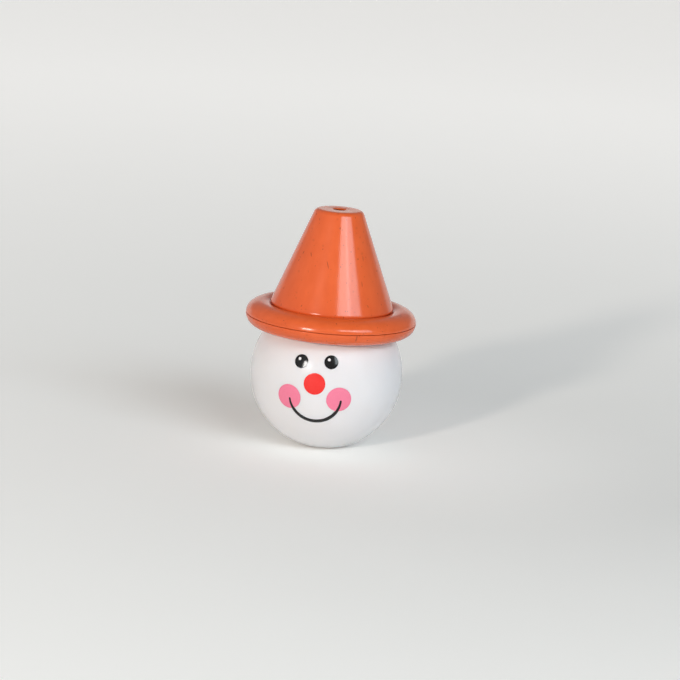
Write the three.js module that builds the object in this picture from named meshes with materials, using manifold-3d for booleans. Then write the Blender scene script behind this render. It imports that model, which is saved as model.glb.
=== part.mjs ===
// The clown-head topper of a stacking ring tower, in millimetres, +Z up.
// A hollow ball head is moulded in a front and a back half, which trap a blind sleeve for the tower's post.
// A loose two-shell hat, a cone with a rolled hollow brim, sits on the head by a spherical seat.
// The origin is the centre of the flat foot ring, and the printed face looks along -Y.
import * as THREE from 'three';
import { mergeVertices } from 'three/addons/utils/BufferGeometryUtils.js';
import Module from 'manifold-3d';

const wasm = await Module();
wasm.setup();

// Head: two half shells with a lapped seam in the plane that holds the post's axis
const headDiameter = 62;
const headWall = 2.2;
const headLap = 1.6; // how far the front half's tongue reaches into the back half

// Post sleeve: a blind tube, whose foot ring closes the hole in the ball's underside
const postBore = 12.5;
const sleeveWall = 1.75;
const sleeveCap = 1.8; // wall over the blind end
const footDiameter = 18;
const footRound = 0.4;
const boreLeadIn = 0.5; // chamfer that guides the post
const boreEndRound = 0.6; // corner at the blind end
const collarOverhang = 2.2; // how far the collar reaches over the edge of the hole
const collarThickness = 1.6;
const sleeveEndChamfer = 0.5;

// Hat: crown and brim
const seatAngle = 54.55; // degrees from the top of the ball to the ring where the hat's mouth sits
const brimWidth = 9.2; // from the mouth to the brim's widest point
const brimThickness = 10.2;
const brimRoll = 6.3; // width of the rounded upper edge
const brimUnderRoll = 5; // width of the rounded lower edge
const creaseInset = 0.2; // the crown starts this far inside the mouth
const creaseDepth = 1; // the brim's crest stands this far above the crown's root
const crownTopDiameter = 19.2;
const crownRise = 44.25; // from the brim's seam to the flat top
const crownTopRound = 2.2;
const ventDiameter = 5.4;
const ventLip = 0.4; // thin edge round the vent
const ventFlare = 1.8; // how far the vent opens out below its lip
const hatWall = 2;
const hatLap = 1.5; // how far the crown's tongue reaches into the brim ring
const mouthRound = 0.8;
const seatRise = 5.2; // height of the spherical seat
const spigotWall = 1.8; // ring that stands up inside the crown's root

// Clearances
const seatClearance = 0.3; // hat to head
const seamGap = 0.3; // between the two shells of a lapped seam
const sleeveClearance = 0.3; // sleeve to head shells

// Facets
const ringFacets = 48;
const sleeveFacets = 40;
const sphereSteps = 12;
const rollSteps = 7;
const cornerSteps = 3;

// Sizes that follow
const headRadius = headDiameter / 2;
const headInner = headRadius - headWall;
const headTongue = (headWall - seamGap) / 2;
const footRadius = footDiameter / 2;
const headCentre = Math.sqrt(headRadius ** 2 - footRadius ** 2); // above the foot ring
const holeRadius = footRadius + sleeveClearance;

const seatSphere = headRadius + seatClearance;
const seatPolar = THREE.MathUtils.degToRad(seatAngle);
const mouthRadius = seatSphere * Math.sin(seatPolar);
const mouthHeight = seatSphere * Math.cos(seatPolar); // above the head's centre
const halfBrim = brimThickness / 2;
const seamHeight = mouthHeight + halfBrim; // above the head's centre
const brimRadius = mouthRadius + brimWidth;
const hatTongue = (hatWall - seamGap) / 2;

// Points on an ellipse about (centreR, centreH), from angle a to angle b, both included
function arc(centreR, centreH, radiusR, radiusH, a, b, steps) {
  return Array.from({ length: steps + 1 }, (_, i) => {
    const angle = a + ((b - a) * i) / steps;
    return [centreR + radiusR * Math.cos(angle), centreH + radiusH * Math.sin(angle)];
  });
}

// A closed surface with its shared vertices merged and its collapsed triangles left out
function welded(geometry) {
  geometry.deleteAttribute('normal');
  geometry.deleteAttribute('uv');
  const merged = mergeVertices(geometry, 1e-5);
  const corners = merged.index.array;
  const kept = [];
  for (let i = 0; i < corners.length; i += 3) {
    const [a, b, c] = corners.slice(i, i + 3);
    if (a !== b && b !== c && c !== a) kept.push(a, b, c);
  }
  return merged.setIndex(kept);
}

// A profile of [radius, height] points, up the outside and down the inside, turned about the Y axis
function revolve(profile, facets) {
  const points = profile.map(([r, h]) => new THREE.Vector2(r, h));
  return welded(new THREE.LatheGeometry(points, facets));
}

// The same about the Z axis
function revolveUpright(profile, facets) {
  return revolve(profile, facets).rotateX(Math.PI / 2);
}

function solid(geometry) {
  const vertProperties = new Float32Array(geometry.getAttribute('position').array);
  const triVerts = new Uint32Array(geometry.index.array);
  return new wasm.Manifold(new wasm.Mesh({ numProp: 3, vertProperties, triVerts }));
}

function cutFrom(geometry, tool) {
  const { vertProperties, triVerts } = solid(geometry).subtract(solid(tool)).getMesh();
  const result = new THREE.BufferGeometry();
  result.setAttribute('position', new THREE.BufferAttribute(vertProperties, 3));
  return result.setIndex(Array.from(triVerts));
}

// The head halves are turned about the line of sight, -Y to +Y, with the ball's centre at the origin
const seamHalfGap = seamGap / 2;
const outerSeamAngle = Math.asin(seamHalfGap / headRadius);
const quarter = Math.PI / 2;

function frontHalf() {
  const outer = arc(0, 0, headRadius, headRadius, -quarter, -outerSeamAngle, sphereSteps);
  const inner = arc(0, 0, headInner, headInner, 0, -quarter, sphereSteps);
  const tongue = [
    [headInner + headTongue, -seamHalfGap],
    [headInner + headTongue, headLap],
    [headInner, headLap],
  ];
  return revolve([...outer, ...tongue, ...inner], ringFacets);
}

function backHalf() {
  const rebateDepth = headLap + seamGap;
  const innerStart = Math.asin(rebateDepth / headInner);
  const inner = arc(0, 0, headInner, headInner, quarter, innerStart, sphereSteps);
  const outer = arc(0, 0, headRadius, headRadius, outerSeamAngle, quarter, sphereSteps);
  const lipInner = headInner + headTongue + seamGap;
  const rebate = [
    [lipInner, rebateDepth],
    [lipInner, seamHalfGap],
  ];
  return revolve([...inner, ...rebate, ...outer], ringFacets);
}

// The hole in the underside takes in the pole of the ball and stops at its centre
function footHole() {
  const hole = new THREE.CylinderGeometry(holeRadius, holeRadius, headDiameter, sleeveFacets);
  return welded(hole.rotateX(quarter).translate(0, 0, -headRadius));
}

function postSleeve() {
  const bore = postBore / 2;
  const tube = bore + sleeveWall;
  const collar = holeRadius + collarOverhang;
  const collarBottom = headCentre - Math.sqrt(headInner ** 2 - collar ** 2) + sleeveClearance;
  const collarTop = collarBottom + collarThickness;
  const top = headCentre + Math.sqrt(headInner ** 2 - tube ** 2) - sleeveClearance;
  const boreEnd = top - sleeveCap;
  const endCorner = boreEnd - boreEndRound;
  return revolveUpright([
    [0, boreEnd],
    ...arc(bore - boreEndRound, endCorner, boreEndRound, boreEndRound, quarter, 0, cornerSteps),
    [bore, boreLeadIn],
    [bore + boreLeadIn, 0],
    ...arc(footRadius - footRound, footRound, footRound, footRound, -quarter, 0, cornerSteps),
    [footRadius, collarBottom],
    [collar, collarBottom],
    [collar, collarTop],
    [tube, collarTop],
    [tube, top - sleeveEndChamfer],
    [tube - sleeveEndChamfer, top],
    [0, top],
  ], sleeveFacets);
}

// The hat's two shells are drawn from the plane of the brim's seam
const crestRadius = brimRadius - brimRoll;
const creaseRadius = mouthRadius - creaseInset;
const creaseHeight = halfBrim - creaseDepth;
const crownTopRadius = crownTopDiameter / 2;
const crownSlope = (creaseRadius - crownTopRadius) / (crownRise - creaseHeight); // inwards per unit of height
const crownLean = Math.atan(crownSlope);

// Radius of the crown's inner wall at a height above the seam
function crownInner(height) {
  return creaseRadius - (height - creaseHeight) * crownSlope - hatWall / Math.cos(crownLean);
}

function hatCrown() {
  const rimInner = brimRadius - hatWall;
  const tongueOuter = rimInner + hatTongue;
  const rollStart = Math.asin(seamHalfGap / halfBrim);
  const roundStart = crownLean; // the cone's outward normal, above the horizontal
  const tangent = crownTopRound * Math.tan((quarter - crownLean) / 2);
  const roundCentre = crownTopRadius - tangent;
  const innerTop = crownRise - hatWall;
  const innerRoot = halfBrim - hatWall;
  const shoulder = crestRadius - creaseRadius;
  const vent = ventDiameter / 2;
  const profile = [
    [rimInner, -hatLap],
    [tongueOuter, -hatLap],
    [tongueOuter, seamHalfGap],
    ...arc(crestRadius, 0, brimRoll, halfBrim, rollStart, quarter, rollSteps),
    ...arc(crestRadius, creaseHeight, shoulder, creaseDepth, quarter, Math.PI, rollSteps).slice(1),
    ...arc(roundCentre, crownRise - crownTopRound, crownTopRound, crownTopRound,
      roundStart, quarter, cornerSteps),
    [vent, crownRise],
    [vent, crownRise - ventLip],
    [vent + ventFlare, innerTop],
    [crownInner(innerTop), innerTop],
    [crownInner(innerRoot), innerRoot],
    ...arc(crestRadius, 0, brimRoll - hatWall, halfBrim - hatWall, quarter, 0, rollSteps),
    [rimInner, -hatLap],
  ];
  return revolveUpright(profile, ringFacets);
}

function hatBrimRing() {
  const underCrest = brimRadius - brimUnderRoll;
  const rollEnd = -Math.asin(seamHalfGap / halfBrim);
  const lipInner = brimRadius - hatWall + hatTongue + seamGap;
  const rebateDepth = hatLap + seamGap;
  const innerRoll = brimUnderRoll - hatWall;
  const innerHalf = halfBrim - hatWall;
  const rebateAngle = -Math.asin(rebateDepth / innerHalf);

  // The seat and its back are spheres about the head's centre, which lies below the seam
  const seatLow = Math.asin((mouthHeight + mouthRound) / seatSphere);
  const seatHigh = Math.asin((mouthHeight + seatRise) / seatSphere);
  const spigotInner = seatSphere * Math.cos(seatHigh);
  const spigotOuter = spigotInner + spigotWall;
  const spigotFit = spigotOuter + seamGap;
  const spigotTop = creaseHeight + (crownInner(creaseHeight) - spigotFit) / crownSlope;
  const backSphere = seatSphere + hatWall;
  const backLow = Math.asin((mouthHeight + hatWall) / backSphere);
  const backHigh = Math.acos(spigotOuter / backSphere);
  const seat = arc(0, -seamHeight, seatSphere, seatSphere, seatHigh, seatLow, cornerSteps);
  const back = arc(0, -seamHeight, backSphere, backSphere, backLow, backHigh, cornerSteps);
  const mouthEdge = [mouthRadius + mouthRound, -halfBrim];
  const profile = [
    mouthEdge,
    ...arc(underCrest, 0, brimUnderRoll, halfBrim, -quarter, rollEnd, rollSteps),
    [lipInner, -seamHalfGap],
    [lipInner, -rebateDepth],
    ...arc(underCrest, 0, innerRoll, innerHalf, rebateAngle, -quarter, rollSteps),
    ...back,
    [spigotOuter, spigotTop],
    [spigotInner, spigotTop],
    ...seat,
    mouthEdge,
  ];
  return revolveUpright(profile, ringFacets);
}

function piece(name, geometry, color, roughness) {
  const material = new THREE.MeshStandardMaterial({ color, roughness, metalness: 0 });
  const mesh = new THREE.Mesh(geometry, material);
  mesh.name = name;
  return mesh;
}

const white = 0xf2f1ef;
const ivory = 0xe6e2d8;
const orange = 0xe56a3c;
const gloss = 0.22;
const satin = 0.45;

const head = new THREE.Group();
head.position.z = headCentre;
head.add(piece('head_front_shell', cutFrom(frontHalf(), footHole()), white, gloss));
head.add(piece('head_back_shell', cutFrom(backHalf(), footHole()), white, gloss));

const hat = new THREE.Group();
hat.position.z = headCentre + seamHeight;
hat.add(piece('hat_crown', hatCrown(), orange, gloss));
hat.add(piece('hat_brim_ring', hatBrimRing(), orange, gloss));

const topper = new THREE.Group();
topper.add(head, hat, piece('post_sleeve', postSleeve(), ivory, satin));

export default topper;
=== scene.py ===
"""The clown-head topper of a stacking ring tower: a white ball head with a printed face
and a loose cone hat with a rolled brim."""
from math import acos, asin, atan, cos, pi, radians, sin, sqrt, tan

import bmesh
import bpy
from mathutils import Matrix, Vector


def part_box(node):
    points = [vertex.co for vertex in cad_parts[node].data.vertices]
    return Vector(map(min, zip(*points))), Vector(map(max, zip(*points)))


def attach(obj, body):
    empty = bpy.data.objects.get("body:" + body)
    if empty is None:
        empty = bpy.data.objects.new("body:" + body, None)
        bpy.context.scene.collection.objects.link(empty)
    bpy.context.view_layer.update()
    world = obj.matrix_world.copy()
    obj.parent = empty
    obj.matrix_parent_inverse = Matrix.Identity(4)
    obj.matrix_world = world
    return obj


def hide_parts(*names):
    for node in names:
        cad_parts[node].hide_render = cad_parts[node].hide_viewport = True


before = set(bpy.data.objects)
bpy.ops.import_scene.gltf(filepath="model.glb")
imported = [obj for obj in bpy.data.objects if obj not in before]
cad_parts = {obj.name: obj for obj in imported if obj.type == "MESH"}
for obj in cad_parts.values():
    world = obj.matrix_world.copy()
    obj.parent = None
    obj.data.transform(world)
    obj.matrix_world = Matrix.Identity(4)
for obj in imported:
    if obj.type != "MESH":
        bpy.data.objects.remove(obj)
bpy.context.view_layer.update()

MM = 0.001
QUARTER = pi / 2

# Sizes taken from the frame, in millimetres
head_low, head_high = (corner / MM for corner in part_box("head_front_shell"))
hat_low, hat_high = (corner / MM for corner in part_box("hat_crown"))
brim_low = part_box("hat_brim_ring")[0] / MM
sleeve_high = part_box("post_sleeve")[1] / MM
HEAD_RADIUS = (head_high.x - head_low.x) / 2
HEAD_CENTRE = head_high.z - HEAD_RADIUS
BRIM_RADIUS = (hat_high.x - hat_low.x) / 2
HAT_TOP = hat_high.z
BRIM_BOTTOM = brim_low.z
SLEEVE_TOP = sleeve_high.z

# Head: two half shells with a lapped seam
HEAD_WALL = 2.2
HEAD_INNER = HEAD_RADIUS - HEAD_WALL
HEAD_LAP = 1.6
HEAD_SEAM = 0.02
SEAM_EDGE = 0.02
SEAM_GAP = 0.3
HALF_GAP = SEAM_GAP / 2
BALL_STEPS, INNER_STEPS, BALL_SEGMENTS = 112, 36, 288

# Post sleeve
POST_BORE = 6.25
SLEEVE_TUBE = 8.0
SLEEVE_CAP = 1.8
FOOT_RING_RADIUS = 9.0
HOLE_RADIUS = 9.3
COLLAR_RADIUS = 11.5
COLLAR_THICKNESS = 1.6
BORE_END_ROUND, BORE_MOUTH_ROUND, RING_ROUND, CAP_CHAMFER = 0.6, 0.5, 0.4, 0.5
SLEEVE_SEGMENTS = 128

# Hat: crown and brim, drawn from the plane of the brim's seam
HALF_BRIM = 5.1
BRIM_SEAM = BRIM_BOTTOM + HALF_BRIM
CROWN_RISE = HAT_TOP - BRIM_SEAM
MOUTH_INSET = 9.2
MOUTH_RADIUS = BRIM_RADIUS - MOUTH_INSET
BRIM_ROLL = 6.3
BRIM_UNDER_ROLL = 5.0
CREST_RADIUS = BRIM_RADIUS - BRIM_ROLL
UNDER_CREST = BRIM_RADIUS - BRIM_UNDER_ROLL
CREASE_INSET = 0.2
CREASE_RADIUS = MOUTH_RADIUS - CREASE_INSET
CREASE_DEPTH = 0.7
FOOT_ROUND = 1.1
FOOT_RISE = 1.2
FOOT_UNDERCUT = radians(65)
CREASE_HEIGHT = HALF_BRIM - CREASE_DEPTH
CROWN_TOP_RADIUS = 9.6
CROWN_TOP_ROUND = 2.2
VENT_RADIUS = 2.7
VENT_LIP = 0.4
VENT_FLARE = 1.8
HAT_WALL = 2.0
HAT_LAP = 1.5
HAT_TONGUE = (HAT_WALL - SEAM_GAP) / 2
SEAT_PLAY = 0.3
SEAT_SPHERE = HEAD_RADIUS + SEAT_PLAY
MOUTH_ROUND = 0.8
SEAT_RISE = 5.2
SPIGOT_WALL = 1.8
CROWN_SLOPE = (CREASE_RADIUS - CROWN_TOP_RADIUS) / (CROWN_RISE - CREASE_HEIGHT)
CROWN_LEAN = atan(CROWN_SLOPE)
HAT_SEGMENTS = 224

# Moulded edges: rounding in millimetres, and the corners it takes in
EDGE = 0.2
CORNER_FROM = radians(20)
CORNER_SHARE = 0.45
SHARP_FROM = radians(40)

# Meshes: distances in metres under which points are one, and the sides of the drill
SAME_POINT = 0.001 * MM
DOUBLE_POINT = 0.0005 * MM
SLIVER = 0.0002 * MM
NO_LENGTH = 1e-6
DRILL_SEGMENTS = 128

# Printed face, on a ball turned a little about the line of sight: degrees and millimetres
FACE_ROLL = 2.75
EYES_AT, EYE_SIZE = ((-10.9, 19.4), (12.7, 19.9)), 5.15
NOSE_AT, NOSE_SIZE = (0.5, 3.4), 8.05
CHEEKS_AT, CHEEK_SIZE = ((-19.3, -8.0), (19.0, -8.1)), 9.35
GLINT_SHIFT, GLINT_SIZE = (-1.6, 1.75), 1.1
SMILE_RADIUS = 10.37
SMILE_CENTRE = -3.6
SMILE_END_DROP = 5.0
SMILE_WIDTH = 1.55
SMILE_TURN = 0.9
INK_LIFT = 0.03
INK_SINK = 0.06
SPOT_SEGMENTS, SKIN_STEPS, RIM_STEPS, UNDER_STEPS = 96, 12, 4, 6
STROKE_STEPS, STROKE_SIDES = 160, 24
TAPER_RUN, END_WIDTH, TIP_RUN = 0.3, 0.68, 0.014

# Camera: a long lens a little above the object, which leans in the frame
CAMERA_AZIMUTH = radians(8.22)
CAMERA_ELEVATION = radians(12.23)
CAMERA_ROLL = radians(4.68)
CAMERA_DISTANCE = 1.0
CAMERA_CLIP = 0.01, 50
AIM_RIGHT, AIM_UP = 4.45, 13.84
LENS, SENSOR = 130.0, 36.0

# Fibres: lean, cell width and length in mm, share of empty cells, reach in cells, depth of tone
FIBRES = (
    (0.15, 1.1, 12.0, 0.78, 0.26, 0.5),
    (-0.35, 1.2, 10.0, 0.86, 0.24, 0.45),
    (1.45, 1.2, 10.0, 0.84, 0.24, 0.4),
    (1.45, 2.0, 16.0, 0.7, 0.3, 0.12),
)
FIBRE_RAGGED, FIBRE_LEAST, FIBRE_EDGE = 0.3, 0.06, 0.08

# Paper: metres on the floor, and the painted light it adds to the eye, where a strength of 1 is white: a
# glow that grows away from the object, and a pool beside the ball that stands in for light thrown back on it
GLOW_HOLE, GLOW_FROM, GLOW_TO, GLOW_BOW, GLOW_LEVEL = (0.1586, -0.0368, 0.0), 0.0, 1.423, 1.616, 0.44
PAINTED_BOUNCE_AT, PAINTED_BOUNCE_REACH, PAINTED_BOUNCE_LEVEL = (0.05, 0.01, 0.0), 0.12, 0.07
FLOOR_FRONT, FLOOR_BACK, FLOOR_SIDE, COVE_RADIUS, COVE_STEPS = -4.0, 3.0, 4.0, 1.0, 16

# Room: where it is brightest, in degrees, its levels, and how it darkens overhead
ROOM_BRIGHT = -60, 20
ROOM_LOW, ROOM_HIGH = 0.315, 0.53
CEILING_FROM, CEILING_LEVEL = 0.5, 0.55


def add(tree, kind, links=None, **settings):
    """Adds a node, sets its properties, and fills or links its inputs by name or number."""
    node = tree.nodes.new(kind)
    for name, value in settings.items():
        setattr(node, name, value)
    for key, value in (links or {}).items():
        if isinstance(value, bpy.types.NodeSocket):
            tree.links.new(value, node.inputs[key])
        else:
            node.inputs[key].default_value = value
    return node


def linear(hex_colour):
    """Linear RGBA from an sRGB hex value."""
    shares = [int(hex_colour[i:i + 2], 16) / 255 for i in (1, 3, 5)]
    return (*(s / 12.92 if s <= 0.04045 else ((s + 0.055) / 1.055) ** 2.4 for s in shares), 1.0)


def per_metre(*sizes_mm):
    """Pattern cells per metre of Object coordinates, from the size of a cell in millimetres."""
    return tuple(1 / (size * MM) for size in sizes_mm)


def new_material(name):
    """An empty material, its tree and the Object coordinates that its patterns read."""
    material = bpy.data.materials.new(name)
    material.use_nodes = True
    tree = material.node_tree
    tree.nodes.clear()
    place = add(tree, "ShaderNodeTexCoord").outputs["Object"]
    return material, tree, place


def flecked_orange_plastic():
    """Injection-moulded polypropylene filled with plant fibre: glossy, faintly clouded orange with short
    dark fibres that lie along the flow, and a skin that is a little wavy where it mirrors."""
    material, tree, place = new_material("moulded_fibre_filled_polypropylene")
    cloud = add(tree, "ShaderNodeTexNoise", {"Vector": place, "Scale": per_metre(11)[0], "Detail": 3.0})
    flow_map = add(tree, "ShaderNodeMapping", {"Vector": place, "Scale": per_metre(3, 3, 26)})
    flow = add(tree, "ShaderNodeTexNoise", {"Vector": flow_map.outputs[0], "Scale": 1.0, "Detail": 2.0})
    tone = add(tree, "ShaderNodeMath", {0: cloud.outputs[0], 1: flow.outputs[0]}, operation="ADD")
    toned = add(tree, "ShaderNodeMapRange", {"Value": tone.outputs[0], "From Min": 0.75, "From Max": 1.25})
    orange = add(tree, "ShaderNodeMix", {0: toned.outputs[0], 6: linear("#DC5D2A"), 7: linear("#E26330")},
                 data_type="RGBA")

    # Fibres and smears: at most one in each cell of a long grid, with ragged edges
    stir = add(tree, "ShaderNodeTexNoise", {"Vector": place, "Scale": per_metre(4)[0], "Detail": 2.0})
    ragged = add(tree, "ShaderNodeVectorMath",
                 {0: stir.outputs["Color"], 1: (FIBRE_RAGGED * MM,) * 3, 2: place}, operation="MULTIPLY_ADD")
    colour = orange
    for lean, wide, long, empty, reach, depth in FIBRES:
        lay = add(tree, "ShaderNodeMapping",
                  {"Vector": ragged.outputs[0], "Rotation": (lean, lean, 0.0),
                   "Scale": (wide * MM, wide * MM, long * MM)}, vector_type="TEXTURE")
        fibre = add(tree, "ShaderNodeTexVoronoi", {"Vector": lay.outputs[0], "Scale": 1.0})
        draw = add(tree, "ShaderNodeSeparateColor", {0: fibre.outputs["Color"]})
        size = add(tree, "ShaderNodeMapRange",
                   {"Value": draw.outputs[0], "From Min": empty, "From Max": 1.0,
                    "To Min": FIBRE_LEAST, "To Max": reach})
        kept = add(tree, "ShaderNodeMath", {0: draw.outputs[0], 1: empty}, operation="GREATER_THAN")
        within = add(tree, "ShaderNodeMath", {0: size.outputs[0], 1: fibre.outputs["Distance"]},
                     operation="SUBTRACT")
        dark = add(tree, "ShaderNodeMapRange",
                   {"Value": within.outputs[0], "From Min": 0.0, "From Max": FIBRE_EDGE, "To Max": depth})
        fleck = add(tree, "ShaderNodeMath", {0: dark.outputs[0], 1: kept.outputs[0]}, operation="MULTIPLY")
        colour = add(tree, "ShaderNodeMix",
                     {0: fleck.outputs[0], 6: colour.outputs[2], 7: linear("#4A0E10")}, data_type="RGBA")

    haze = add(tree, "ShaderNodeTexNoise", {"Vector": place, "Scale": per_metre(6)[0], "Detail": 5.0})
    rough = add(tree, "ShaderNodeMapRange", {"Value": haze.outputs[0], "To Min": 0.13, "To Max": 0.2})
    wave = add(tree, "ShaderNodeTexNoise", {"Vector": place, "Scale": per_metre(7)[0], "Detail": 1.0})
    skin = add(tree, "ShaderNodeBump", {"Height": wave.outputs[0], "Distance": 0.03 * MM, "Strength": 1.0})
    shader = add(tree, "ShaderNodeBsdfPrincipled",
                 {"Base Color": colour.outputs[2], "Roughness": rough.outputs[0], "IOR": 1.49,
                  "Normal": skin.outputs[0]})
    add(tree, "ShaderNodeOutputMaterial", {"Surface": shader.outputs[0]})
    return material


def gloss_white_plastic():
    """Polished moulded ABS: neutral white, a smooth skin with a faint gloss over a slightly cloudy body
    that light enters and softens."""
    material, tree, place = new_material("polished_white_abs")
    cloud = add(tree, "ShaderNodeTexNoise", {"Vector": place, "Scale": per_metre(14)[0], "Detail": 3.0})
    colour = add(tree, "ShaderNodeMix", {0: cloud.outputs[0], 6: linear("#E2E1E3"), 7: linear("#E7E6E8")},
                 data_type="RGBA")
    haze = add(tree, "ShaderNodeTexNoise", {"Vector": place, "Scale": per_metre(5)[0], "Detail": 5.0})
    rough = add(tree, "ShaderNodeMapRange", {"Value": haze.outputs[0], "To Min": 0.14, "To Max": 0.2})
    wave = add(tree, "ShaderNodeTexNoise", {"Vector": place, "Scale": per_metre(9)[0], "Detail": 1.0})
    skin = add(tree, "ShaderNodeBump", {"Height": wave.outputs[0], "Distance": 0.02 * MM, "Strength": 1.0})
    shader = add(tree, "ShaderNodeBsdfPrincipled",
                 {"Base Color": colour.outputs[2], "Roughness": rough.outputs[0], "IOR": 1.46,
                  "Specular IOR Level": 0.16, "Subsurface Weight": 1.0,
                  "Subsurface Radius": (1.0, 0.95, 0.9), "Subsurface Scale": 1.2 * MM,
                  "Normal": skin.outputs[0]})
    add(tree, "ShaderNodeOutputMaterial", {"Surface": shader.outputs[0]})
    return material


def natural_sleeve_plastic():
    """Unpainted moulded polyethylene: warm milky white with a satin, finely eroded skin."""
    material, tree, place = new_material("satin_natural_polyethylene")
    cloud = add(tree, "ShaderNodeTexNoise", {"Vector": place, "Scale": per_metre(8)[0], "Detail": 3.0})
    colour = add(tree, "ShaderNodeMix", {0: cloud.outputs[0], 6: linear("#DED8CB"), 7: linear("#E9E5DA")},
                 data_type="RGBA")
    grain = add(tree, "ShaderNodeTexNoise", {"Vector": place, "Scale": per_metre(0.5)[0], "Detail": 4.0})
    rough = add(tree, "ShaderNodeMapRange", {"Value": grain.outputs[0], "To Min": 0.36, "To Max": 0.52})
    skin = add(tree, "ShaderNodeBump", {"Height": grain.outputs[0], "Distance": 0.02 * MM, "Strength": 1.0})
    shader = add(tree, "ShaderNodeBsdfPrincipled",
                 {"Base Color": colour.outputs[2], "Roughness": rough.outputs[0], "IOR": 1.51,
                  "Normal": skin.outputs[0]})
    add(tree, "ShaderNodeOutputMaterial", {"Surface": shader.outputs[0]})
    return material


def pad_print_ink(name, thin, full, roughness, index=1.5):
    """Pad-printed enamel ink: an even, glossy film, a touch lighter where the pad laid it thinner."""
    material, tree, place = new_material(name)
    lay = add(tree, "ShaderNodeTexNoise", {"Vector": place, "Scale": per_metre(1.5)[0], "Detail": 4.0})
    colour = add(tree, "ShaderNodeMix", {0: lay.outputs[0], 6: linear(thin), 7: linear(full)},
                 data_type="RGBA")
    rough = add(tree, "ShaderNodeMapRange",
                {"Value": lay.outputs[0], "To Min": roughness - 0.05, "To Max": roughness + 0.05})
    shader = add(tree, "ShaderNodeBsdfPrincipled",
                 {"Base Color": colour.outputs[2], "Roughness": rough.outputs[0], "IOR": index})
    add(tree, "ShaderNodeOutputMaterial", {"Surface": shader.outputs[0]})
    return material


def backdrop_paper():
    """Matt white photographic paper: even and pale. To the eye it carries painted light: a glow that
    brightens away from the object, and a pool of painted light beside the ball, standing in for light the
    ball throws back on it; it adds no light to the object."""
    material, tree, place = new_material("matt_backdrop_paper")
    tooth = add(tree, "ShaderNodeTexNoise", {"Vector": place, "Scale": per_metre(60)[0], "Detail": 2.0})
    white = add(tree, "ShaderNodeMix", {0: tooth.outputs[0], 6: linear("#F6F5F2"), 7: linear("#F9F8F5")},
                data_type="RGBA")
    flat = add(tree, "ShaderNodeVectorMath", {0: place, 1: (1.0, 1.0, 0.0)}, operation="MULTIPLY")
    # Painted light: the paper glows for the eye and in reflections, more with distance from a point near the
    # object
    off = add(tree, "ShaderNodeVectorMath", {0: flat.outputs[0], 1: GLOW_HOLE}, operation="DISTANCE")
    near = add(tree, "ShaderNodeMapRange",
               {"Value": off.outputs["Value"], "From Min": GLOW_FROM, "From Max": GLOW_TO,
                "To Min": 1.0, "To Max": 0.0})
    bowed = add(tree, "ShaderNodeMath", {0: near.outputs[0], 1: GLOW_BOW}, operation="POWER")
    fade = add(tree, "ShaderNodeMath", {0: 1.0, 1: bowed.outputs[0]}, operation="SUBTRACT")
    ray = add(tree, "ShaderNodeLightPath")
    seen = add(tree, "ShaderNodeMath",
               {0: ray.outputs["Is Camera Ray"], 1: ray.outputs["Is Glossy Ray"]}, operation="MAXIMUM")
    share = add(tree, "ShaderNodeMath", {0: seen.outputs[0], 1: fade.outputs[0]}, operation="MULTIPLY")
    # Painted light: a pool of light on the paper beside the ball, standing in for light the ball throws back
    # on it
    beside = add(tree, "ShaderNodeVectorMath", {0: flat.outputs[0], 1: PAINTED_BOUNCE_AT}, operation="DISTANCE")
    painted_bounce = add(tree, "ShaderNodeMapRange",
                 {"Value": beside.outputs["Value"], "From Min": 0.0, "From Max": PAINTED_BOUNCE_REACH,
                  "To Min": PAINTED_BOUNCE_LEVEL, "To Max": 0.0}, interpolation_type="SMOOTHSTEP")
    painted_bounce_seen = add(tree, "ShaderNodeMath", {0: seen.outputs[0], 1: painted_bounce.outputs[0]}, operation="MULTIPLY")
    painted_glow = add(tree, "ShaderNodeMath", {0: share.outputs[0], 1: GLOW_LEVEL, 2: painted_bounce_seen.outputs[0]},
               operation="MULTIPLY_ADD")
    paper = add(tree, "ShaderNodeBsdfPrincipled",
                {"Base Color": white.outputs[2], "Roughness": 0.9, "Specular IOR Level": 0.1,
                 "Emission Color": linear("#FFFEFC"), "Emission Strength": painted_glow.outputs[0]})
    add(tree, "ShaderNodeOutputMaterial", {"Surface": paper.outputs[0]})
    return material


orange_finish = flecked_orange_plastic()
white_finish = gloss_white_plastic()
sleeve_finish = natural_sleeve_plastic()
black_finish = pad_print_ink("black_pad_print_ink", "#141416", "#0B0B0C", 0.085, 1.47)
glint_finish = pad_print_ink("white_pad_print_ink", "#E2E2E4", "#EAEAEC", 0.2)
red_finish = pad_print_ink("red_pad_print_ink", "#EC302B", "#E92923", 0.2)
pink_finish = pad_print_ink("pink_pad_print_ink", "#F0819E", "#EC7997", 0.2)


def open_tree(name, inputs):
    """A Geometry Nodes tree with named inputs; gives the tree and its inputs' sockets."""
    tree = bpy.data.node_groups.new(name, "GeometryNodeTree")
    for label, kind in inputs:
        tree.interface.new_socket(name=label, in_out="INPUT", socket_type="NodeSocket" + kind)
    tree.interface.new_socket(name="Piece", in_out="OUTPUT", socket_type="NodeSocketGeometry")
    return tree, add(tree, "NodeGroupInput").outputs


def close_tree(tree, shape, finish):
    """Ends a tree in real, finished geometry."""
    smooth = add(tree, "GeometryNodeSetShadeSmooth", {"Geometry": shape})
    real = add(tree, "GeometryNodeRealizeInstances", {"Geometry": smooth.outputs[0]})
    finished = add(tree, "GeometryNodeSetMaterial", {"Geometry": real.outputs[0], "Material": finish})
    add(tree, "NodeGroupOutput", {0: finished.outputs[0]})
    return tree


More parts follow.
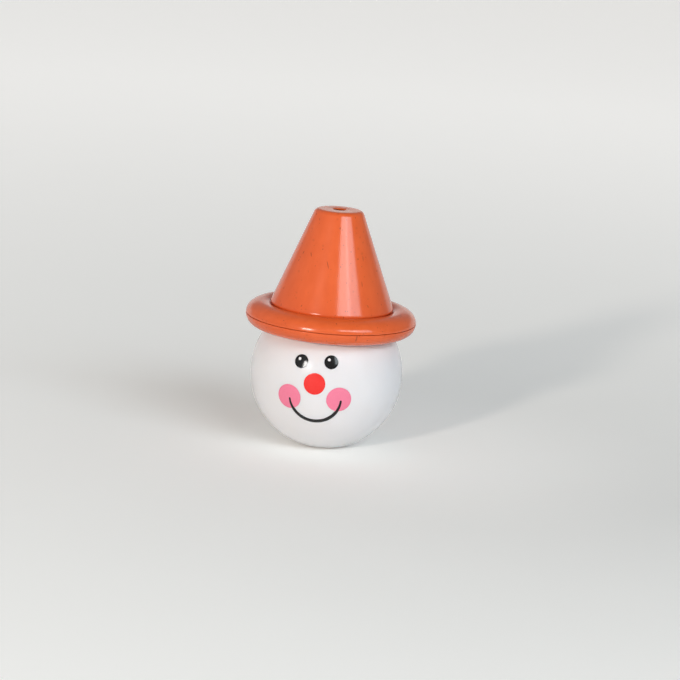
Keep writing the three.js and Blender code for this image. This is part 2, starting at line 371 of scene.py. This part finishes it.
def turned_tree():
    """Turns a profile, given as a row of points in the XZ plane, once round the Z axis."""
    tree, given = open_tree("turned_piece", (
        ("Profile", "Geometry"), ("Segments", "Int"), ("Finish", "Material")))
    points = add(tree, "GeometryNodeAttributeDomainSize", {0: given["Profile"]}, component="MESH")
    rows = add(tree, "ShaderNodeMath", {0: given["Segments"], 1: 1.0}, operation="ADD")
    grid = add(tree, "GeometryNodeMeshGrid",
               {"Vertices X": points.outputs["Point Count"], "Vertices Y": rows.outputs[0]})
    index = add(tree, "GeometryNodeInputIndex")
    share = add(tree, "ShaderNodeMath", {0: index.outputs[0], 1: rows.outputs[0]}, operation="DIVIDE")
    along = add(tree, "ShaderNodeMath", {0: share.outputs[0]}, operation="FLOOR")
    place = add(tree, "GeometryNodeInputPosition")
    sample = add(tree, "GeometryNodeSampleIndex",
                 {"Geometry": given["Profile"], "Index": along.outputs[0]}, data_type="FLOAT_VECTOR")
    tree.links.new(place.outputs[0], sample.inputs["Value"])
    step = add(tree, "ShaderNodeMath", {0: index.outputs[0], 1: rows.outputs[0]}, operation="MODULO")
    part = add(tree, "ShaderNodeMath", {0: step.outputs[0], 1: given["Segments"]}, operation="DIVIDE")
    angle = add(tree, "ShaderNodeMath", {0: part.outputs[0], 1: 2 * pi}, operation="MULTIPLY")
    turned = add(tree, "ShaderNodeVectorRotate", {"Vector": sample.outputs[0], "Angle": angle.outputs[0]},
                 rotation_type="Z_AXIS")
    moved = add(tree, "GeometryNodeSetPosition",
                {"Geometry": grid.outputs[0], "Position": turned.outputs[0]})
    welded = add(tree, "GeometryNodeMergeByDistance", {"Geometry": moved.outputs[0], "Distance": SAME_POINT})
    return close_tree(tree, welded.outputs[0], given["Finish"])


def stroke_tree():
    """Lays a tapering stroke of ink on a ball: an arc drawn in front of it, carried back onto its skin."""
    tree, given = open_tree("printed_stroke", (
        ("Profile", "Geometry"), ("Ball Radius", "Float"), ("Arc Radius", "Float"), ("Arc Centre", "Float"),
        ("End Drop", "Float"), ("Width", "Float"), ("Lift", "Float"), ("Finish", "Material")))
    start = add(tree, "ShaderNodeMath", {0: given["End Drop"], 1: pi}, operation="ADD")
    sweep = add(tree, "ShaderNodeMath", {0: given["End Drop"], 1: -2.0, 2: pi}, operation="MULTIPLY_ADD")
    bend = add(tree, "GeometryNodeCurveArc",
               {"Resolution": STROKE_STEPS, "Radius": given["Arc Radius"], "Start Angle": start.outputs[0],
                "Sweep Angle": sweep.outputs[0]})
    flat = add(tree, "ShaderNodeSeparateXYZ", {0: add(tree, "GeometryNodeInputPosition").outputs[0]})
    height = add(tree, "ShaderNodeMath", {0: flat.outputs[1], 1: given["Arc Centre"]}, operation="ADD")
    off = add(tree, "ShaderNodeCombineXYZ", {0: flat.outputs[0], 2: height.outputs[0]})
    reach = add(tree, "ShaderNodeVectorMath", {0: off.outputs[0], 1: off.outputs[0]},
                operation="DOT_PRODUCT")
    ball = add(tree, "ShaderNodeMath", {0: given["Ball Radius"], 1: given["Ball Radius"]},
               operation="MULTIPLY")
    depth = add(tree, "ShaderNodeMath", {0: ball.outputs[0], 1: reach.outputs["Value"]},
                operation="SUBTRACT")
    front = add(tree, "ShaderNodeMath", {0: depth.outputs[0]}, operation="SQRT")
    back = add(tree, "ShaderNodeMath", {0: front.outputs[0], 1: -1.0}, operation="MULTIPLY")
    onto = add(tree, "ShaderNodeCombineXYZ", {0: flat.outputs[0], 1: back.outputs[0], 2: height.outputs[0]})
    laid = add(tree, "GeometryNodeSetPosition", {"Geometry": bend.outputs[0], "Position": onto.outputs[0]})
    out = add(tree, "ShaderNodeVectorMath", {0: add(tree, "GeometryNodeInputPosition").outputs[0]},
              operation="NORMALIZE")
    upright = add(tree, "GeometryNodeSetCurveNormal", {"Curve": laid.outputs[0], "Normal": out.outputs[0]},
                  mode="FREE")

    # The stroke keeps most of its width to the ends, which are round
    run = add(tree, "GeometryNodeSplineParameter")
    rest = add(tree, "ShaderNodeMath", {0: 1.0, 1: run.outputs["Factor"]}, operation="SUBTRACT")
    near = add(tree, "ShaderNodeMath", {0: run.outputs["Factor"], 1: rest.outputs[0]}, operation="MINIMUM")
    body = add(tree, "ShaderNodeMapRange",
               {"Value": near.outputs[0], "From Max": TAPER_RUN, "To Min": END_WIDTH, "To Max": 1.0})
    tip = add(tree, "ShaderNodeMapRange",
              {"Value": near.outputs[0], "From Max": TIP_RUN, "To Min": 1.0, "To Max": 0.0})
    bow = add(tree, "ShaderNodeMath", {0: tip.outputs[0], 1: 2.0}, operation="POWER")
    fall = add(tree, "ShaderNodeMath", {0: 1.0, 1: bow.outputs[0]}, operation="SUBTRACT")
    end = add(tree, "ShaderNodeMath", {0: fall.outputs[0]}, operation="SQRT")
    taper = add(tree, "ShaderNodeMath", {0: body.outputs[0], 1: end.outputs[0]}, operation="MULTIPLY")
    section = add(tree, "GeometryNodeCurvePrimitiveCircle", {"Resolution": STROKE_SIDES, "Radius": 1.0})
    half = add(tree, "ShaderNodeMath", {0: given["Width"], 1: 0.5}, operation="MULTIPLY")
    squeeze = add(tree, "ShaderNodeCombineXYZ", {0: given["Lift"], 1: half.outputs[0], 2: 1.0})
    flattened = add(tree, "GeometryNodeTransform",
                    {"Geometry": section.outputs[0], "Scale": squeeze.outputs[0]})
    swept = add(tree, "GeometryNodeCurveToMesh",
                {"Curve": upright.outputs[0], "Profile Curve": flattened.outputs[0],
                 "Scale": taper.outputs[0], "Fill Caps": True})
    welded = add(tree, "GeometryNodeMergeByDistance", {"Geometry": swept.outputs[0], "Distance": SAME_POINT})
    return close_tree(tree, welded.outputs[0], given["Finish"])


turned = turned_tree()
stroke = stroke_tree()


def grown(name, tree, points, **inputs):
    """Runs a tree on a row of points (millimetres, XZ plane) and gives its result as a plain mesh."""
    seed = bpy.data.meshes.new(name + "_profile")
    seed.from_pydata([(r * MM, 0, h * MM) for r, h in points],
                     [(i, i + 1) for i in range(len(points) - 1)], [])
    carrier = bpy.data.objects.new(name + "_carrier", seed)
    bpy.context.collection.objects.link(carrier)
    modifier = carrier.modifiers.new(tree.name, "NODES")
    modifier.node_group = tree
    for item in tree.interface.items_tree:
        if item.in_out == "INPUT" and item.name in inputs:
            modifier[item.identifier] = inputs[item.name]
    depsgraph = bpy.context.evaluated_depsgraph_get()
    mesh = bpy.data.meshes.new_from_object(carrier.evaluated_get(depsgraph), depsgraph=depsgraph)
    mesh.name = name
    bpy.data.objects.remove(carrier)
    bpy.data.meshes.remove(seed)
    return mesh


def drilled(mesh, radius, low, high):
    """Takes an upright round hole, on the Z axis, out of a mesh."""
    body = bpy.data.objects.new("drilled_body", mesh)
    drill_mesh = bpy.data.meshes.new("drill")
    form = bmesh.new()
    bmesh.ops.create_cone(form, cap_ends=True, segments=DRILL_SEGMENTS, radius1=radius * MM,
                          radius2=radius * MM, depth=(high - low) * MM,
                          matrix=Matrix.Translation((0, 0, (high + low) / 2 * MM)))
    form.to_mesh(drill_mesh)
    form.free()
    drill = bpy.data.objects.new("drill", drill_mesh)
    for item in (body, drill):
        bpy.context.collection.objects.link(item)
    cut = body.modifiers.new("hole", "BOOLEAN")
    cut.object, cut.operation, cut.solver = drill, "DIFFERENCE", "EXACT"
    depsgraph = bpy.context.evaluated_depsgraph_get()
    result = bpy.data.meshes.new_from_object(body.evaluated_get(depsgraph), depsgraph=depsgraph)
    for item in (body, drill):
        bpy.data.objects.remove(item)
    bpy.data.meshes.remove(drill_mesh)
    return result


def settle(name, mesh, body, finish, node=None):
    """Makes a finished mesh a piece of the part: outward faces, clean edges, its finish, its body, and the
    frame's node hidden in its place.
    """
    form = bmesh.new()
    form.from_mesh(mesh)
    bmesh.ops.remove_doubles(form, verts=form.verts, dist=DOUBLE_POINT)
    bmesh.ops.dissolve_degenerate(form, edges=form.edges, dist=SLIVER)
    bmesh.ops.recalc_face_normals(form, faces=form.faces)
    form.to_mesh(mesh)
    form.free()
    mesh.materials.clear()
    mesh.materials.append(finish)
    mesh.polygons.foreach_set("material_index", [0] * len(mesh.polygons))
    mesh.shade_smooth()
    mesh.set_sharp_from_angle(angle=SHARP_FROM)
    piece = bpy.data.objects.new(name, mesh)
    bpy.context.collection.objects.link(piece)
    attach(piece, body)
    if node:
        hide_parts(node)


def arc(centre_r, centre_h, radius_r, radius_h, a, b, steps):
    """Points on an ellipse from angle a to angle b, both included."""
    angles = [a + (b - a) * i / steps for i in range(steps + 1)]
    return [(centre_r + radius_r * cos(t), centre_h + radius_h * sin(t)) for t in angles]


def eased(points, radius, steps=4):
    """Rounds the corners of a profile, as a moulding's edges are; points on the axis and fine arcs stay."""
    closed = (Vector(points[0]) - Vector(points[-1])).length < NO_LENGTH
    row = [Vector(p) for p in (points[:-1] if closed else points)]
    count = len(row)
    result = []
    for i, at in enumerate(row):
        if not closed and i in (0, count - 1):
            result.append(tuple(at))
            continue
        before, after = row[i - 1], row[(i + 1) % count]
        come, go = at - before, after - at
        if come.length < NO_LENGTH or go.length < NO_LENGTH:
            continue
        turn = come.angle(go)
        if turn < CORNER_FROM:
            result.append(tuple(at))
            continue
        back = min(radius * tan(turn / 2), come.length * CORNER_SHARE, go.length * CORNER_SHARE)
        first, last = at - come.normalized() * back, at + go.normalized() * back
        for k in range(steps + 1):
            t = k / steps
            result.append(tuple(first * (1 - t) ** 2 + at * 2 * t * (1 - t) + last * t ** 2))
    if closed:
        result.append(result[0])
    return result


# Head: halves turned about the line of sight, with the ball's centre at the origin
seam_angle = asin(HEAD_SEAM / 2 / HEAD_RADIUS)
head_tongue = (HEAD_WALL - SEAM_GAP) / 2
face_front = Matrix.Translation((0, 0, HEAD_CENTRE * MM)) @ Matrix.Rotation(-QUARTER, 4, "X")

front_profile = [
    *arc(0, 0, HEAD_RADIUS, HEAD_RADIUS, -QUARTER, -seam_angle, BALL_STEPS),
    (HEAD_INNER + head_tongue, -HEAD_SEAM / 2),
    (HEAD_INNER + head_tongue, HEAD_LAP),
    (HEAD_INNER, HEAD_LAP),
    *arc(0, 0, HEAD_INNER, HEAD_INNER, 0, -QUARTER, INNER_STEPS),
]
rebate = HEAD_LAP + SEAM_GAP
lip_inner = HEAD_INNER + head_tongue + SEAM_GAP
back_profile = [
    *arc(0, 0, HEAD_INNER, HEAD_INNER, QUARTER, asin(rebate / HEAD_INNER), INNER_STEPS),
    (lip_inner, rebate),
    (lip_inner, HEAD_SEAM / 2),
    *arc(0, 0, HEAD_RADIUS, HEAD_RADIUS, seam_angle, QUARTER, BALL_STEPS),
]
for half, profile, node in (("head_front", front_profile, "head_front_shell"),
                            ("head_back", back_profile, "head_back_shell")):
    shell = grown(half, turned, eased(profile, SEAM_EDGE), Segments=BALL_SEGMENTS, Finish=white_finish)
    shell.transform(face_front)
    shell = drilled(shell, HOLE_RADIUS, -HEAD_RADIUS, HEAD_CENTRE)
    settle(half, shell, "head", white_finish, node)

# Post sleeve: blind tube with a foot ring and a collar that holds it in the ball
collar_low = HEAD_CENTRE - sqrt(HEAD_INNER ** 2 - COLLAR_RADIUS ** 2) + SEAM_GAP
bore_end = SLEEVE_TOP - SLEEVE_CAP
sleeve_profile = [
    (0, bore_end),
    *arc(POST_BORE - BORE_END_ROUND, bore_end - BORE_END_ROUND, BORE_END_ROUND, BORE_END_ROUND,
         QUARTER, 0, steps=8),
    (POST_BORE, BORE_MOUTH_ROUND),
    *arc(POST_BORE + BORE_MOUTH_ROUND, BORE_MOUTH_ROUND, BORE_MOUTH_ROUND, BORE_MOUTH_ROUND,
         pi, 1.5 * pi, steps=6),
    *arc(FOOT_RING_RADIUS - RING_ROUND, RING_ROUND, RING_ROUND, RING_ROUND,
         -QUARTER, 0, steps=6),
    (FOOT_RING_RADIUS, collar_low),
    (COLLAR_RADIUS, collar_low),
    (COLLAR_RADIUS, collar_low + COLLAR_THICKNESS),
    (SLEEVE_TUBE, collar_low + COLLAR_THICKNESS),
    (SLEEVE_TUBE, SLEEVE_TOP - CAP_CHAMFER),
    (SLEEVE_TUBE - CAP_CHAMFER, SLEEVE_TOP),
    (0, SLEEVE_TOP),
]
sleeve = grown("post_socket", turned, eased(sleeve_profile, EDGE), Segments=SLEEVE_SEGMENTS,
               Finish=sleeve_finish)
settle("post_socket", sleeve, "head", sleeve_finish, "post_sleeve")


# Hat: crown and brim ring, turned about the post's axis
def crown_inner(height):
    """Radius of the crown's inner wall at a height above the seam."""
    return CREASE_RADIUS - (height - CREASE_HEIGHT) * CROWN_SLOPE - HAT_WALL / cos(CROWN_LEAN)


def crown_outer(height):
    """A point on the crown's outer wall, at a height above the seam."""
    return CREASE_RADIUS - (height - CREASE_HEIGHT) * CROWN_SLOPE, height


rim_inner = BRIM_RADIUS - HAT_WALL
tongue_outer = rim_inner + HAT_TONGUE
roll_start = asin(HALF_GAP / HALF_BRIM)
round_centre = CROWN_TOP_RADIUS - CROWN_TOP_ROUND * tan((QUARTER - CROWN_LEAN) / 2)
inner_top = CROWN_RISE - HAT_WALL
inner_root = HALF_BRIM - HAT_WALL
shoulder = CREST_RADIUS - CREASE_RADIUS
foot_centre = CREASE_RADIUS - FOOT_RISE * CROWN_SLOPE - FOOT_ROUND * cos(CROWN_LEAN)
foot_height = CREASE_HEIGHT + FOOT_RISE - FOOT_ROUND * sin(CROWN_LEAN)
crown_profile = [
    (rim_inner, -HAT_LAP),
    (tongue_outer, -HAT_LAP),
    (tongue_outer, HALF_GAP),
    *arc(CREST_RADIUS, 0, BRIM_ROLL, HALF_BRIM, roll_start, QUARTER, steps=40),
    *arc(CREST_RADIUS, CREASE_HEIGHT, shoulder, CREASE_DEPTH, QUARTER, pi, steps=16)[1:],
    (foot_centre, foot_height - FOOT_ROUND - SEAM_GAP),
    *arc(foot_centre, foot_height, FOOT_ROUND, FOOT_ROUND, -FOOT_UNDERCUT, CROWN_LEAN, steps=12),
    crown_outer(CREASE_HEIGHT + FOOT_RISE + EDGE),
    crown_outer(CROWN_RISE - CROWN_TOP_ROUND * (1 - sin(CROWN_LEAN)) - EDGE),
    *arc(round_centre, CROWN_RISE - CROWN_TOP_ROUND, CROWN_TOP_ROUND, CROWN_TOP_ROUND,
         CROWN_LEAN, QUARTER, steps=14),
    (VENT_RADIUS, CROWN_RISE),
    (VENT_RADIUS, CROWN_RISE - VENT_LIP),
    (VENT_RADIUS + VENT_FLARE, inner_top),
    (crown_inner(inner_top), inner_top),
    (crown_inner(inner_root), inner_root),
    *arc(CREST_RADIUS, 0, BRIM_ROLL - HAT_WALL, HALF_BRIM - HAT_WALL, QUARTER, 0, steps=24),
    (rim_inner, -HAT_LAP),
]

lip = tongue_outer + SEAM_GAP
brim_rebate = HAT_LAP + SEAM_GAP
seam_above_ball = BRIM_SEAM - HEAD_CENTRE
mouth_above_ball = seam_above_ball - HALF_BRIM
seat_top = asin((mouth_above_ball + SEAT_RISE) / SEAT_SPHERE)
spigot_inner = SEAT_SPHERE * cos(seat_top)
spigot_outer = spigot_inner + SPIGOT_WALL
spigot_top = CREASE_HEIGHT + (crown_inner(CREASE_HEIGHT) - spigot_outer - SEAM_GAP) / CROWN_SLOPE
back_sphere = SEAT_SPHERE + HAT_WALL
mouth_edge = (MOUTH_RADIUS + MOUTH_ROUND, -HALF_BRIM)
brim_profile = [
    mouth_edge,
    *arc(UNDER_CREST, 0, BRIM_UNDER_ROLL, HALF_BRIM, -QUARTER, -roll_start, steps=40),
    (lip, -HALF_GAP),
    (lip, -brim_rebate),
    *arc(UNDER_CREST, 0, BRIM_UNDER_ROLL - HAT_WALL, HALF_BRIM - HAT_WALL,
         -asin(brim_rebate / (HALF_BRIM - HAT_WALL)), -QUARTER, steps=24),
    *arc(0, -seam_above_ball, back_sphere, back_sphere,
         asin((mouth_above_ball + HAT_WALL) / back_sphere), acos(spigot_outer / back_sphere), steps=10),
    (spigot_outer, spigot_top),
    (spigot_inner, spigot_top),
    *arc(0, -seam_above_ball, SEAT_SPHERE, SEAT_SPHERE, seat_top,
         asin((mouth_above_ball + MOUTH_ROUND) / SEAT_SPHERE), steps=12),
    mouth_edge,
]
on_seam = Matrix.Translation((0, 0, BRIM_SEAM * MM))
for name, profile, node in (("hat_cone", crown_profile, "hat_crown"),
                            ("hat_brim", brim_profile, "hat_brim_ring")):
    shell = grown(name, turned, eased(profile, EDGE), Segments=HAT_SEGMENTS, Finish=orange_finish)
    shell.transform(on_seam)
    settle(name, shell, "hat", orange_finish, node)


# Face: films of ink on the front of the ball
def film(size, lift):
    """Profile of a round film of ink: its skin, a rounded rim and an underside inside the ball's wall."""
    outer, inner = HEAD_RADIUS + lift, HEAD_RADIUS - INK_SINK
    edge = radians(size) - lift / HEAD_RADIUS
    skin = [(outer * sin(edge * i / SKIN_STEPS), outer * cos(edge * i / SKIN_STEPS))
            for i in range(SKIN_STEPS + 1)]
    rim = [((HEAD_RADIUS + lift * cos(t)) * sin(edge + lift / HEAD_RADIUS * sin(t)),
            (HEAD_RADIUS + lift * cos(t)) * cos(edge + lift / HEAD_RADIUS * sin(t)))
           for t in (QUARTER * k / RIM_STEPS for k in range(1, RIM_STEPS + 1))]
    under = [(inner * sin(edge * i / UNDER_STEPS), inner * cos(edge * i / UNDER_STEPS))
             for i in range(UNDER_STEPS, -1, -1)]
    return skin + rim + under


face = Matrix.Translation((0, 0, HEAD_CENTRE * MM)) @ Matrix.Rotation(radians(-FACE_ROLL), 4, "Y")


def print_spot(name, azimuth, elevation, size, layer, slot, finish):
    """Prints a round spot at a place on the face, which is a little askew."""
    spot = grown(name, turned, film(size, INK_LIFT * layer), Segments=SPOT_SEGMENTS, Finish=finish)
    spot.transform(face @ Matrix.Rotation(radians(azimuth), 4, "Z")
                   @ Matrix.Rotation(radians(90 - elevation), 4, "X"))
    settle(name, spot, "head", finish)


print_spot("nose", *NOSE_AT, NOSE_SIZE, 1, "red_ink", red_finish)
for side, eye_at, cheek_at in zip(("left", "right"), EYES_AT, CHEEKS_AT):
    glint_at = (eye_at[0] + GLINT_SHIFT[0], eye_at[1] + GLINT_SHIFT[1])
    print_spot("eye_" + side, *eye_at, EYE_SIZE, 1, "black_ink", black_finish)
    print_spot("eye_glint_" + side, *glint_at, GLINT_SIZE, 2, "white_ink", glint_finish)
    print_spot("cheek_" + side, *cheek_at, CHEEK_SIZE, 1, "pink_ink", pink_finish)

smile = grown("smile", stroke, [(0, 0), (1, 0)], Finish=black_finish, Lift=2 * INK_LIFT * MM,
              Width=SMILE_WIDTH * MM, **{
                  "Ball Radius": HEAD_RADIUS * MM, "Arc Radius": SMILE_RADIUS * MM,
                  "Arc Centre": SMILE_CENTRE * MM, "End Drop": radians(SMILE_END_DROP)})
smile.transform(face @ Matrix.Rotation(radians(SMILE_TURN), 4, "Z"))
settle("smile", smile, "head", black_finish)

# Camera
right = Vector((cos(CAMERA_AZIMUTH), sin(CAMERA_AZIMUTH), 0))
away = Vector((sin(CAMERA_AZIMUTH) * cos(CAMERA_ELEVATION), -cos(CAMERA_AZIMUTH) * cos(CAMERA_ELEVATION),
               sin(CAMERA_ELEVATION)))
upward = away.cross(right)
ball = Vector((0, 0, HEAD_CENTRE * MM))
aim = ball + right * AIM_RIGHT * MM + Vector((0, 0, AIM_UP * MM))
camera_data = bpy.data.cameras.new("camera")
camera_data.lens, camera_data.sensor_width = LENS, SENSOR
camera_data.clip_start, camera_data.clip_end = CAMERA_CLIP
camera = bpy.data.objects.new("camera", camera_data)
axes = Matrix((right * cos(CAMERA_ROLL) + upward * sin(CAMERA_ROLL),
               upward * cos(CAMERA_ROLL) - right * sin(CAMERA_ROLL), away)).transposed()
camera.matrix_world = Matrix.Translation(aim + away * CAMERA_DISTANCE) @ axes.to_4x4()
bpy.context.collection.objects.link(camera)
bpy.context.scene.camera = camera


# Light: a lamp from the left with its catchlight, two panes and a low card at the right, and a plain room
def heading(azimuth, elevation):
    """A direction from the ball; azimuth is from the camera, to the right."""
    turn, rise = CAMERA_AZIMUTH + radians(azimuth), radians(elevation)
    return Vector((sin(turn) * cos(rise), -cos(turn) * cos(rise), sin(rise)))


def lamp(name, azimuth, elevation, distance, width, height, radiance, colour, shades=True, glints=True):
    """An area lamp that looks at the ball."""
    data = bpy.data.lights.new(name, "AREA")
    data.shape = "RECTANGLE" if width != height else "DISK"
    data.size, data.size_y = width, height
    area = width * height if width != height else pi * width ** 2 / 4
    data.energy = radiance * pi * area
    data.color = colour
    towards = heading(azimuth, elevation)
    light = bpy.data.objects.new(name, data)
    light.matrix_world = (Matrix.Translation(ball + towards * distance)
                          @ towards.to_track_quat("Z", "Y").to_matrix().to_4x4())
    light.visible_diffuse, light.visible_glossy = shades, glints
    bpy.context.collection.objects.link(light)


# Lamps: degrees from the camera and up, metres away, metres wide and high, radiance, colour
lamp("key_lamp", -27.2, 14.8, 2.2, 0.22, 0.22, 176, (1.0, 0.91, 0.82), glints=False)
lamp("catch_lamp", -29.9, 18.3, 2.2, 0.5, 0.42, 27, (1.0, 0.97, 0.94), shades=False)
lamp("near_pane", 25.8, 33, 2.0, 0.76, 0.55, 6.1, (0.85, 0.94, 0.98))
lamp("far_pane", 47.8, 30, 2.0, 0.78, 0.70, 5.0, (0.78, 0.9, 1.0))
lamp("fill_card", 58, 4, 1.2, 1.0, 0.4, 1.05, (0.88, 0.95, 1.0), glints=False)

# Room: white, brighter to the left and darker overhead
world = bpy.data.worlds.new("room")
world.use_nodes = True
air = world.node_tree
air.nodes.clear()
sky = add(air, "ShaderNodeTexCoord").outputs["Generated"]
facing = add(air, "ShaderNodeVectorMath", {0: sky, 1: heading(*ROOM_BRIGHT)}, operation="DOT_PRODUCT")
level = add(air, "ShaderNodeMapRange",
            {"Value": facing.outputs["Value"], "From Min": 0.0, "From Max": 1.0,
             "To Min": ROOM_LOW, "To Max": ROOM_HIGH}, interpolation_type="SMOOTHSTEP")
height = add(air, "ShaderNodeSeparateXYZ", {0: sky})
ceiling = add(air, "ShaderNodeMapRange",
              {"Value": height.outputs[2], "From Min": CEILING_FROM, "From Max": 1.0,
               "To Min": 1.0, "To Max": CEILING_LEVEL}, interpolation_type="SMOOTHSTEP")
strength = add(air, "ShaderNodeMath", {0: level.outputs[0], 1: ceiling.outputs[0]}, operation="MULTIPLY")
room = add(air, "ShaderNodeBackground", {"Color": linear("#FFFFFF"), "Strength": strength.outputs[0]})
add(air, "ShaderNodeOutputWorld", {"Surface": room.outputs[0]})
bpy.context.scene.world = world

# Floor: a sheet of paper that curves up far behind the object
floor_mesh = bpy.data.meshes.new("backdrop")
floor_form = bmesh.new()
cove = arc(FLOOR_BACK, COVE_RADIUS, COVE_RADIUS, COVE_RADIUS, -QUARTER, 0, COVE_STEPS)
sweep_line = [(FLOOR_FRONT, 0.0), (FLOOR_BACK, 0.0), *cove[1:]]
rows = [[floor_form.verts.new((x, y, z)) for x in (-FLOOR_SIDE, FLOOR_SIDE)] for y, z in sweep_line]
for low, high in zip(rows, rows[1:]):
    floor_form.faces.new((low[0], low[1], high[1], high[0]))
floor_form.to_mesh(floor_mesh)
floor_form.free()
floor_mesh.transform(Matrix.Rotation(CAMERA_AZIMUTH, 4, "Z"))
floor_mesh.shade_smooth()
floor_mesh.materials.append(backdrop_paper())
floor = bpy.data.objects.new("backdrop", floor_mesh)
bpy.context.collection.objects.link(floor)

bpy.context.scene.view_settings.view_transform = "Standard"
